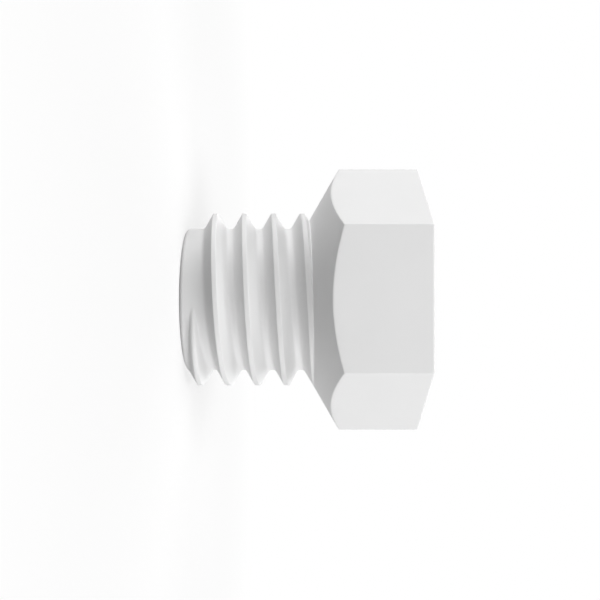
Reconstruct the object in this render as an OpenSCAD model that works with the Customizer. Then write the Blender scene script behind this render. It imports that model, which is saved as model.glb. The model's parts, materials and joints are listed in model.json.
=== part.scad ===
// Threaded plug, moulded in one piece: a short screw thread under a hexagonal head.
// The underside of the head is a cone that starts where the thread ends. A right-hand thread.
// It stands on the end of its thread, with +Z up through the head and the origin at the
// centre of the thread's end face. Sizes are in millimetres.

/* [Thread] */
// Diameter over the crests
thread_d = 6; // [5:0.1:7.5]
// Distance from one crest to the next
pitch = 1; // [0.8:0.05:1.5]
// Height of the ridge above the root
thread_depth = 0.53; // [0.3:0.01:0.7]
// Width of the flat along the crest
crest_w = 0.155; // [0.05:0.005:0.25]
// Angle between the two flanks of the ridge
flank_angle = 60; // [40:1:70]
// Length from the end face to the foot of the cone
shank_len = 4.07; // [2.5:0.01:12]
// Height of the ridge's middle above the end face where it starts
first_crest = 0.45; // [0.4:0.01:1.5]
// Where the ridge starts, in degrees about +Z from +X
lead_start = -84; // [-180:1:0]
// Arc over which the ridge comes out of the root, before it climbs
lead_arc = 76; // [30:1:180]
// Radius of the rounded edge of the end face
end_round = 0.13; // [0.05:0.01:0.5]

/* [Head] */
// Width across the flats of the hexagon
hex_af = 7.91; // [7:0.01:14]
// Length from the foot of the cone to the top face
head_len = 3.97; // [2.5:0.01:10]
// Angle between the sides of the cone under the head
cone_angle = 120; // [90:1:150]

/* [Hidden] */
shade = [0.91, 0.91, 0.90];       // natural white plastic
total_len = shank_len + head_len;
thread_r = thread_d / 2;
root_r = thread_r - thread_depth;
corner_r = hex_af / 2 / cos(30);  // out to the corners of the hexagon
flank_run = tan(flank_angle / 2); // axial run of a flank for each unit of height
cone_run = 1 / tan(cone_angle / 2);
ridge_step = 7.5;                 // degrees between two sections of the ridge
over = 0.02;                      // how far a shape passes the surface that trims it
ridge_in = root_r - end_round - over;
climb_from = lead_start + lead_arc;
// the ridge runs on until the whole of it is inside the cone
buried = shank_len + crest_w / 2 + thread_depth * max(flank_run, cone_run);
last_angle = climb_from + (buried - first_crest) / pitch * 360 + 2 * ridge_step;
first_angle = lead_start - 2 * ridge_step; // its first sections lie under the root's surface
sections = ceil((last_angle - first_angle) / ridge_step);

// Angle about +Z of section i
function angle_at(i) = first_angle + (last_angle - first_angle) * i / sections;
// Height of the crest's middle: level at first, and then along the helix
function crest_z(a) = first_crest + pitch * max(a - climb_from, 0) / 360;
// Radius of the crest: it rises evenly, and stays just over the trimmed size
function crest_r(a) = root_r + (thread_depth + over) * min(1, (a - lead_start) / lead_arc);
// The four corners of a section, from the lower flank's foot round to the upper flank's
function corner(a, k) =
    let (top = crest_r(a),
         inner = k == 0 || k == 3,
         side = k < 2 ? -1 : 1,
         half = crest_w / 2 + (inner ? (top - ridge_in) * flank_run : 0))
    [(inner ? ridge_in : top) * cos(a), (inner ? ridge_in : top) * sin(a), crest_z(a) + side * half];

// The ridge as one swept strip, with its foot inside the root
module ridge_strip() {
    points = [for (i = [0:sections]) for (k = [0:3]) corner(angle_at(i), k)];
    sides = [for (i = [0:sections - 1]) for (k = [0:3])
        let (p = 4 * i + k, q = 4 * i + (k + 1) % 4)
        each [[p, q, q + 4], [p, q + 4, p + 4]]];
    first = [[0, 3, 2], [0, 2, 1]];
    e = 4 * sections;
    last = [[e, e + 1, e + 2], [e, e + 2, e + 3]];
    polyhedron(points, concat(sides, first, last));
}

// The ridge trimmed to the crest cylinder and to the plane of the end face
module thread_ridge() {
    intersection() {
        ridge_strip();
        cylinder(r = thread_r, h = total_len, $fn = 96);
    }
}

// Half outline of the shank, with its end edge rounded
module shank_outline() {
    square([root_r - end_round, shank_len]);
    translate([0, end_round]) square([root_r, shank_len - end_round]);
    translate([root_r - end_round, end_round]) circle(r = end_round, $fn = 48);
}

module shank() {
    rotate_extrude($fn = 96) intersection() {
        shank_outline();
        square([root_r, shank_len]);
    }
}

// The hexagon, with its lower corners cut to the cone
module head() {
    wide = corner_r + 1;
    intersection() {
        translate([0, 0, shank_len]) cylinder(r = corner_r, h = head_len, $fn = 6);
        rotate_extrude($fn = 96) polygon([
            [0, shank_len],
            [root_r, shank_len],
            [wide, shank_len + (wide - root_r) * cone_run],
            [wide, total_len],
            [0, total_len]
        ]);
    }
}

module plug() {
    color(shade) union() {
        shank();
        head();
        thread_ridge();
    }
}

plug();
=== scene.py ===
import json
import bpy
import numpy as np
from mathutils import Matrix, Vector


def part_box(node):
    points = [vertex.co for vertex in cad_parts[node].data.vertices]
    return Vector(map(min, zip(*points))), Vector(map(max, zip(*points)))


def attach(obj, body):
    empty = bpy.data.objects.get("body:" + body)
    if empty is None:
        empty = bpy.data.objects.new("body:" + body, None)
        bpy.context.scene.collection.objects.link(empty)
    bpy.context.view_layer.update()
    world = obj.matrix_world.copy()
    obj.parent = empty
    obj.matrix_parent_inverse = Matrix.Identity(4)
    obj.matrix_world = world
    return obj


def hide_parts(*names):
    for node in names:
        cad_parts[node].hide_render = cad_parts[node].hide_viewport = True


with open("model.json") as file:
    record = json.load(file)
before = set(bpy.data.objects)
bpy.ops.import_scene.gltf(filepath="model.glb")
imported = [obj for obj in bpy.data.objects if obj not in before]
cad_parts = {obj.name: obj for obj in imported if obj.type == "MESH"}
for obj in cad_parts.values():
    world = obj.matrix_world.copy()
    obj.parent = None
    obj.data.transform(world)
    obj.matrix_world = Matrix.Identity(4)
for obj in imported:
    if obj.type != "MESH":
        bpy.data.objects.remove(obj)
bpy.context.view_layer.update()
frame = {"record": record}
mm = 0.001
print("frame loaded")


def linearColour(hexText):
    # each sRGB channel through the standard curve to linear light
    srgb = np.array([int(hexText[i:i + 2], 16) for i in (1, 3, 5)]) / 255
    linear = np.where(srgb <= 0.04045, srgb / 12.92, ((srgb + 0.055) / 1.055) ** 2.4)
    return (*linear.tolist(), 1.0)


def addNode(tree, kind, settings=None, links=None):
    # settings are the node's own properties, or the values of its inputs; links are its inputs' sources
    node = tree.nodes.new(kind)
    for name, value in (settings or {}).items():
        if isinstance(name, str) and hasattr(node, name):
            setattr(node, name, value)
        else:
            node.inputs[name].default_value = value
    for name, source in (links or {}).items():
        tree.links.new(source, node.inputs[name])
    return node


def between(first, last, share):
    # straight line from the first at share 0 to the last at share 1
    return first + (last - first) * share


def softMin(a, b, width):
    # the lower of two, less a parabola that is a quarter of the width deep where they are equal
    near = np.maximum(width - np.abs(a - b), 0)
    return np.minimum(a, b) - near * near / (4 * width)


def softMax(a, b, width):
    # the same blend for the higher of two
    return -softMin(-a, -b, width)


# the plug, in millimetres and degrees; angles go round +Z from +X, and the rows and columns are those
# of its grid
plug = {
    "pitch": 1.0,
    "threadDepth": 0.53,
    "crestWidth": 0.155,
    "flankAngle": 60,     # between the ridge's two sides
    "startHeight": 0.45,  # of the ridge's middle where it starts
    "startAngle": -84,    # where the ridge leaves the root
    "climbAngle": -8,     # where it has its full height and starts to climb
    "coneAngle": 120,     # between the sides of the cone
    "cornerAngle": 60,    # from one corner of the hexagon to the next
    "endRound": 0.13,
    "rootRound": 0.12,
    "rootAtStart": 0.02,  # the same round at the ridge's start; it has grown at half the ridge's height
    "crestRound": 0.02,
    "crestAtStart": 0.15,  # the same round at the ridge's start
    "grooveRound": 0.03,  # at the cone's foot
    "coneRound": 0.02,    # where the cone runs into the hexagon
    "cornerRound": 0.03,
    "topRound": 0.04,
    "columnStep": 1.25,
    "cornerColumns": (0.08, 0.16, 0.24, 0.32, 0.5),  # extra columns on both sides of each corner
    "faceRows": (0, 0.3, 0.6, 0.8, 0.92, 0.98),      # shares of the way out over the end and top faces
    "endRows": 17,
    "flankRows": 9,
    "crestRows": 6,
    "rootRows": 8,
    "coneRows": 18,
    "sideRows": 14,
    "topRows": 7,
    "leastFlank": 0.15,   # share of a full flank's width that its rows keep where there is no ridge
    "clearance": 0.004,   # thread rows this close to the end's round or the groove fall together
}

# sizes that the frame gives, and what follows from them
low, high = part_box("plug")
totalLength = (high.z - low.z) / mm
halfFlats = (high.y - low.y) / mm / 2
mounts = {mount["name"]: mount for mount in frame["record"]["mounts"]}
crestRadius = mounts["thread"]["dims"]["r_mm"]
shankLength = mounts["cone"]["pos_m"][2] / mm
rootRadius = crestRadius - plug["threadDepth"]
flankRun = np.tan(np.radians(plug["flankAngle"] / 2))
coneRun = 1 / np.tan(np.radians(plug["coneAngle"] / 2))
turns = range(-1, int(np.ceil(shankLength / plug["pitch"])))


def hexRadius(angle):
    # distance over a cosine on a flat; at a corner, the far side of a small circle seen from the axis
    rounding = plug["cornerRound"]
    sixth = plug["cornerAngle"]
    fromCorner = np.radians(np.abs((angle + sixth / 2) % sixth - sixth / 2))
    cornerCentre = (halfFlats - rounding) / np.cos(np.pi / 6)
    roundedArc = np.pi / 6 - np.arctan2(cornerCentre / 2, halfFlats)
    across = np.minimum(cornerCentre * np.sin(fromCorner), rounding)
    corner = cornerCentre * np.cos(fromCorner) + np.sqrt(rounding ** 2 - across ** 2)
    flat = halfFlats / np.cos(np.pi / 6 - fromCorner)
    return np.where(fromCorner < roundedArc, corner, flat)


def crestHeight(turned):
    # one pitch for each turn, with a level stretch between the ridge's start and where it climbs
    climb = np.maximum(turned - plug["climbAngle"], 0) + np.minimum(turned - plug["startAngle"], 0)
    return plug["startHeight"] + plug["pitch"] * climb / 360


def ridgeShare(turned):
    # straight line from 0 at the start to 1 at full height, and a little below 0 before it
    ramp = (turned - plug["startAngle"]) / (plug["climbAngle"] - plug["startAngle"])
    return np.clip(ramp, -0.5, 1)


def plugRadius(angle, z):
    # the outermost of root, ridge and cone, cut off by the hexagon, with each edge blended:
    # a rounded edge is a quarter circle, and a slope is height over run
    endRound = plug["endRound"]
    topRound = plug["topRound"]
    intoEnd = np.clip(endRound - z, 0, endRound)
    radius = rootRadius - endRound + np.sqrt(endRound ** 2 - intoEnd ** 2)
    for turn in turns:
        turned = angle + 360 * turn
        share = ridgeShare(turned)
        crest = rootRadius + plug["threadDepth"] * share
        crestRound = between(plug["crestAtStart"], plug["crestRound"], share)
        aside = np.abs(z - crestHeight(turned)) - plug["crestWidth"] / 2
        ridge = softMin(crest, crest - aside / flankRun, crestRound)
        rootRound = between(plug["rootAtStart"], plug["rootRound"], np.clip(2 * share, 0, 1))
        radius = softMax(radius, ridge, rootRound)
    cone = rootRadius + (z - shankLength) / coneRun
    radius = softMax(radius, cone, plug["grooveRound"])
    intoTop = np.clip(z - totalLength + topRound, 0, topRound)
    inset = topRound - np.sqrt(topRound ** 2 - intoTop ** 2)
    return softMin(radius, hexRadius(angle) * (1 - inset / halfFlats), plug["coneRound"])


def spaced(start, stop, steps):
    # grid lines from start up to stop, closer at both ends by a cosine; stop itself is left out
    share = (1 - np.cos(np.pi * np.arange(steps) / steps)) / 2
    return start + (stop - start) * share[:, None]


def threadLines(angle):
    # for each turn: up the lower flank, over the crest, down the upper flank and along the root
    def foot(turned):
        share = np.maximum(ridgeShare(turned), plug["leastFlank"])
        return plug["crestWidth"] / 2 + plug["threadDepth"] * share * flankRun

    steps = (plug["flankRows"], plug["crestRows"], plug["flankRows"], plug["rootRows"])
    rows = []
    for turn in turns:
        turned = angle + 360 * turn
        middle = crestHeight(turned)
        edges = [
            middle - foot(turned),
            middle - plug["crestWidth"] / 2,
            middle + plug["crestWidth"] / 2,
            middle + foot(turned),
            crestHeight(turned + 360) - foot(turned + 360),
        ]
        rows += [spaced(*stretch) for stretch in zip(edges, edges[1:], steps)]
    return np.vstack(rows)


def grooveHeight(angle):
    # where the last ridge's upper flank meets the cone: half way between the flank's foot and the
    # cone's, up to the crest, and the cone's own foot all round the rest
    height = np.full_like(angle, shankLength)
    deepest = plug["threadDepth"] * flankRun
    for turn in turns:
        foot = crestHeight(angle + 360 * turn) + plug["crestWidth"] / 2 + deepest
        past = foot - shankLength
        meets = (past > 0) & (past < 2 * deepest + plug["crestWidth"])
        height = np.where(meets, shankLength + np.minimum(past / 2, deepest), height)
    return height


def gridColumns():
    # evenly spaced angles all round, and more of them close to the hexagon's corners
    even = np.arange(0, 360, plug["columnStep"])
    aside = np.array(plug["cornerColumns"])
    corners = np.arange(0, 360, plug["cornerAngle"])[:, None] + np.append(-aside, aside)
    return np.unique(np.append(even, corners % 360))


def quarterSteps(rows):
    # angles from 0 to 90 degrees, in radians, one to a row
    return np.linspace(0, np.pi / 2, rows)[:, None]


def makePlug():
    # a grid in cylinder coordinates: columns are directions, rows are heights, each point lies at
    # plugRadius, and the thread's rows join the next turn's after a full circle
    angle = gridColumns()
    level = np.ones((1, len(angle)))
    topRound = plug["topRound"]

    # rows from the middle of the end face out, round its edge and up to the thread, the groove and
    # the cone, up the hexagon's sides, and in over the top face
    fillet = plug["endRound"] * (1 - np.cos(quarterSteps(plug["endRows"]))) * level
    faceShares = np.array(plug["faceRows"])[:, None]
    endFace = faceShares * plugRadius(angle, fillet[:1])
    thread = threadLines(angle)
    arcs = shankLength + (hexRadius(angle) - rootRadius) * coneRun
    cone = spaced(grooveHeight(angle), arcs, plug["coneRows"])
    sides = spaced(arcs, totalLength - topRound, plug["sideRows"])
    rounding = totalLength - topRound * (1 - np.sin(quarterSteps(plug["topRows"]))) * level
    topFace = faceShares[::-1] * plugRadius(angle, rounding[-1:])
    body = np.vstack([fillet, thread, cone, sides, rounding])
    radius = np.vstack([endFace, plugRadius(angle, body), topFace])
    z = np.vstack([0 * endFace, body, totalLength + 0 * topFace])

    # thread rows that would pass the rounded end or the groove fall together with it, and the middle
    # of each end is one point
    bottom = len(endFace) + len(fillet) - 1
    top = bottom + len(thread) + 1
    inside = slice(bottom + 1, top)
    index = np.arange(z.size).reshape(z.shape)
    index[inside] = np.where(z[inside] < z[bottom] + plug["clearance"], index[bottom], index[inside])
    index[inside] = np.where(z[inside] > z[top] - plug["clearance"], index[top], index[inside])
    index[0] = index[0, 0]
    index[-1] = index[-1, 0]

    # the last column joins the first, one turn further up in the thread
    perTurn = len(thread) // len(turns)
    seam = index[:, 0].copy()
    seam[inside] = np.append(seam[inside][perTurn:], np.full(perTurn, seam[top]))
    index = np.column_stack([index, seam])

    # two triangles to a cell, less those that have fallen flat
    a, b, c, d = index[:-1, :-1], index[:-1, 1:], index[1:, 1:], index[1:, :-1]
    faces = np.stack([np.stack([a, b, c], -1), np.stack([a, c, d], -1)]).reshape(-1, 3)
    whole = (faces[:, 0] != faces[:, 1]) & (faces[:, 1] != faces[:, 2]) & (faces[:, 2] != faces[:, 0])
    used, faces = np.unique(faces[whole], return_inverse=True)
    faces = faces.reshape(-1, 3)
    turned = np.radians(angle)
    points = np.stack([radius * np.cos(turned), radius * np.sin(turned), z], -1).reshape(-1, 3)[used] * mm

    mesh = bpy.data.meshes.new("plug_moulded")
    mesh.vertices.add(len(points))
    mesh.vertices.foreach_set("co", points.ravel())
    mesh.loops.add(faces.size)
    mesh.loops.foreach_set("vertex_index", faces.ravel())
    mesh.polygons.add(len(faces))
    mesh.polygons.foreach_set("loop_start", np.arange(0, faces.size, 3))
    mesh.update(calc_edges=True)
    mesh.validate()
    mesh.shade_smooth()
    piece = bpy.data.objects.new("plug_moulded", mesh)
    bpy.context.collection.objects.link(piece)
    return piece


# natural nylon, with the sizes of its patterns in millimetres
nylon = {
    "colour": "#E3E3E3",
    "cloudColour": "#E7E7E7",
    "cloudSize": 1.7,
    "grainSize": 0.08,   # the mould's spark-eroded skin
    "grainDepth": 0.01,
    "grainStrength": 0.05,
    "smoothest": 0.52,   # roughness
    "roughest": 0.64,
    "ior": 1.53,
}


def naturalNylon():
    # Natural nylon, injection moulded: an even, faintly cloudy white whose fine satin skin gives
    # wide, dull highlights
    material = bpy.data.materials.new("natural nylon, moulded")
    material.use_nodes = True
    tree = material.node_tree
    tree.nodes.clear()
    place = addNode(tree, "ShaderNodeTexCoord").outputs["Object"]
    cloudScale = 1 / (nylon["cloudSize"] * mm)
    grainScale = 1 / (nylon["grainSize"] * mm)
    cloud = addNode(tree, "ShaderNodeTexNoise", {"Scale": cloudScale, "Detail": 3}, {"Vector": place})
    grain = addNode(tree, "ShaderNodeTexNoise", {"Scale": grainScale, "Detail": 2}, {"Vector": place})
    colour = addNode(tree, "ShaderNodeMix", {
        "data_type": "RGBA",
        6: linearColour(nylon["colour"]),  # 6 and 7 are its two colour inputs
        7: linearColour(nylon["cloudColour"]),
    }, {"Factor": cloud.outputs["Fac"]})
    gloss = addNode(tree, "ShaderNodeMapRange", {
        "To Min": nylon["smoothest"],
        "To Max": nylon["roughest"],
    }, {"Value": grain.outputs["Fac"]})
    bump = addNode(tree, "ShaderNodeBump", {
        "Strength": nylon["grainStrength"],
        "Distance": nylon["grainDepth"] * mm,
    }, {"Height": grain.outputs["Fac"]})
    shader = addNode(tree, "ShaderNodeBsdfPrincipled", {"IOR": nylon["ior"]}, {
        "Base Color": colour.outputs[2],
        "Roughness": gloss.outputs["Result"],
        "Normal": bump.outputs["Normal"],
    })
    addNode(tree, "ShaderNodeOutputMaterial", None, {"Surface": shader.outputs["BSDF"]})
    return material


piece = makePlug()
piece.data.materials.append(naturalNylon())
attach(piece, "root")
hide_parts("plug")
print("plug made:", len(piece.data.polygons), "faces")


# softboxes round the plug: azimuth about +Z from +X, sizes in metres, and level is the brightness
# of the box's face; the low strips light the flats and both sides of the thread, and the high box
# lights the upper flanks over the head's edge
middle = Vector((0, 0, (low.z + high.z) / 2))
softboxes = [
    {"name": "left strip", "azimuth": 180, "elevation": 6, "width": 0.14, "height": 0.026, "level": 13.8},
    {"name": "right strip", "azimuth": 348, "elevation": 9, "width": 0.14, "height": 0.026, "level": 12.5},
    {"name": "front strip", "azimuth": 270, "elevation": 6, "width": 0.08, "height": 0.026, "level": 5.8},
    {"name": "front high", "azimuth": 270, "elevation": 57, "width": 0.08, "height": 0.12, "level": 5.7},
    {"name": "back", "azimuth": 90, "elevation": 20, "width": 0.16, "height": 0.08, "level": 3.5},
]
boxDistance = 0.15


def addSoftbox(name, azimuth, elevation, width, height, level):
    # a lamp on a sphere round the plug, facing its middle; its power is level * pi * its area
    lamp = bpy.data.lights.new(name, "AREA")
    lamp.shape = "RECTANGLE"
    lamp.size = height
    lamp.size_y = width
    lamp.energy = level * np.pi * width * height
    turn = Matrix.Rotation(np.radians(azimuth), 4, "Z") @ Matrix.Rotation(np.radians(90 - elevation), 4, "Y")
    holder = bpy.data.objects.new(name, lamp)
    holder.matrix_world = Matrix.Translation(middle) @ turn @ Matrix.Translation((0, 0, boxDistance))
    bpy.context.collection.objects.link(holder)


for box in softboxes:
    addSoftbox(**box)
print("lamps placed:", len(softboxes))


def plainlySeen(tree):
    # 1 for what the camera, gloss and glass see, and 0 for the light that the surface gives the plug
    path = addNode(tree, "ShaderNodeLightPath")
    seen = path.outputs["Is Camera Ray"]
    for kind in ("Is Glossy Ray", "Is Transmission Ray"):
        links = {0: seen, 1: path.outputs[kind]}
        seen = addNode(tree, "ShaderNodeMath", {"operation": "MAXIMUM"}, links).outputs[0]
    return seen


def makeWorld():
    # plain white behind the plug and in its gloss, and no light besides the lamps'
    world = bpy.data.worlds.new("studio")
    bpy.context.scene.world = world
    world.use_nodes = True
    tree = world.node_tree
    tree.nodes.clear()
    dark = addNode(tree, "ShaderNodeBackground", {"Strength": 0})
    white = addNode(tree, "ShaderNodeBackground", {"Strength": 1, "Color": (1, 1, 1, 1)})
    links = {0: plainlySeen(tree), 1: dark.outputs[0], 2: white.outputs[0]}
    mixed = addNode(tree, "ShaderNodeMixShader", None, links)
    addNode(tree, "ShaderNodeOutputWorld", None, {"Surface": mixed.outputs[0]})


# the floor, in metres: a pale painted board that keeps the plug's shadow, fading to plain white
# with distance from the plug's axis
floor = {
    "size": 3.0,
    "paint": "#FDFDFD",   # as the camera sees it
    "bounce": "#959595",  # as it lights the plug
    "shadowKept": 0.3,    # share of the painted board in what the camera sees by the plug
    "fadeFrom": 0.012,
    "fadeTo": 0.04,
}


def makeFloor():
    # one flat square at the height of the thread's end; the camera sees paint that fades to plain
    # white by a smooth step of distance, and the plug is lit by a plain grey
    half = floor["size"] / 2
    corners = [(-half, -half, low.z), (half, -half, low.z), (half, half, low.z), (-half, half, low.z)]
    mesh = bpy.data.meshes.new("floor")
    mesh.from_pydata(corners, [], [(0, 1, 2, 3)])
    board = bpy.data.objects.new("floor", mesh)
    bpy.context.collection.objects.link(board)

    material = bpy.data.materials.new("white emulsion, rolled")
    material.use_nodes = True
    tree = material.node_tree
    tree.nodes.clear()
    place = addNode(tree, "ShaderNodeTexCoord").outputs["Object"]
    distance = addNode(tree, "ShaderNodeVectorMath", {"operation": "LENGTH"}, {0: place})
    fade = addNode(tree, "ShaderNodeMapRange", {
        "interpolation_type": "SMOOTHSTEP",
        "From Min": floor["fadeFrom"],
        "From Max": floor["fadeTo"],
        "To Min": 1 - floor["shadowKept"],
        "To Max": 1,
    }, {"Value": distance.outputs["Value"]})
    paint = addNode(tree, "ShaderNodeBsdfDiffuse", {"Color": linearColour(floor["paint"])})
    white = addNode(tree, "ShaderNodeEmission", {"Strength": 1})
    bounce = addNode(tree, "ShaderNodeBsdfDiffuse", {"Color": linearColour(floor["bounce"])})
    links = {0: fade.outputs["Result"], 1: paint.outputs[0], 2: white.outputs[0]}
    shown = addNode(tree, "ShaderNodeMixShader", None, links)
    links = {0: plainlySeen(tree), 1: bounce.outputs[0], 2: shown.outputs[0]}
    mixed = addNode(tree, "ShaderNodeMixShader", None, links)
    addNode(tree, "ShaderNodeOutputMaterial", None, {"Surface": mixed.outputs[0]})
    mesh.materials.append(material)


makeWorld()
makeFloor()
print("stage made")

# the camera: square to a flat and on its side, so that +Z is to the right, then moved round the plug
# and tilted by a fraction of a degree; lens and lengths in millimetres, turn and tilt in degrees
view = {"lens": 52.5, "distance": 30.69, "height": 3.914, "aside": 0.02, "turn": 0.25, "tilt": 0.18}
lens = bpy.data.cameras.new("camera")
lens.lens = view["lens"]
lens.clip_start = 0.001
camera = bpy.data.objects.new("camera", lens)
square = Matrix((
    (0, -1, 0, view["aside"] * mm),
    (0, 0, -1, -view["distance"] * mm),
    (1, 0, 0, 0),
    (0, 0, 0, 1),
))
lift = Matrix.Translation((0, 0, view["height"] * mm))
tilt = Matrix.Rotation(np.radians(-view["tilt"]), 4, "X")
camera.matrix_world = Matrix.Rotation(np.radians(view["turn"]), 4, "Z") @ lift @ tilt @ square
bpy.context.collection.objects.link(camera)
bpy.context.scene.camera = camera
bpy.context.scene.view_settings.view_transform = "Standard"
